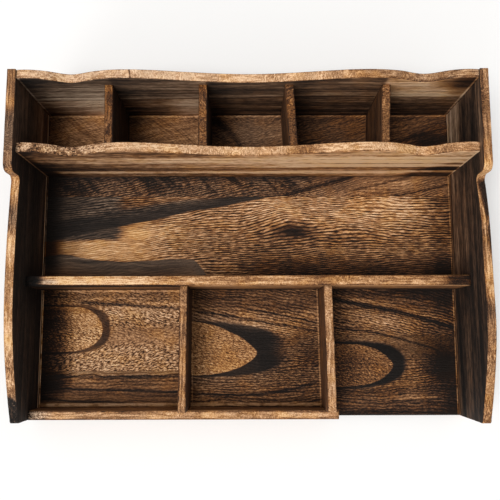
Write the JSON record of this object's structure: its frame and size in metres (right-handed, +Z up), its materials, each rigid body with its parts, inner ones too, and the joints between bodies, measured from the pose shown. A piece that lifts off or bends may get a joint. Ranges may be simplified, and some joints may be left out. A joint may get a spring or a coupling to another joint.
{
  "type": "desk organizer",
  "caption": "Open wooden desk organizer with scroll-cut sides, a row of small bays behind a long tray, and low front bays, one of them open at the front.",
  "frame": {"origin": "middle of the underside, at the level that rests on the desk", "axes": "+X to the right as seen from the front, +Y towards the tall back, +Z up"},
  "size_m": [0.4258, 0.3114, 0.1085],
  "materials": {
    "torched_floor": "torched and brushed, clear matt coat",
    "torched_board": "torched and brushed, clear matt coat",
    "torched_divider": "torched and brushed, clear matt coat",
    "brad_steel": "plain bright steel"
  },
  "bodies": {
    "root": {"bottom_board_front": "torched_floor", "bottom_board_middle": "torched_floor", "bottom_board_rear": "torched_floor", "left_side": "torched_board", "right_side": "torched_board", "back_panel_lower": "torched_board", "back_panel_upper": "torched_board", "tall_panel": "torched_board", "rear_divider_1": "torched_divider", "rear_divider_2": "torched_divider", "rear_divider_3": "torched_divider", "rear_divider_4": "torched_divider", "middle_rail": "torched_board", "front_divider_left": "torched_divider", "front_divider_right": "torched_divider", "front_lip": "torched_board", "left_side_brads": "brad_steel", "right_side_brads": "brad_steel", "back_brads": "brad_steel", "rail_brads": "brad_steel", "lip_brads": "brad_steel", "bottom_brads": "brad_steel"}
  },
  "joints": []
}
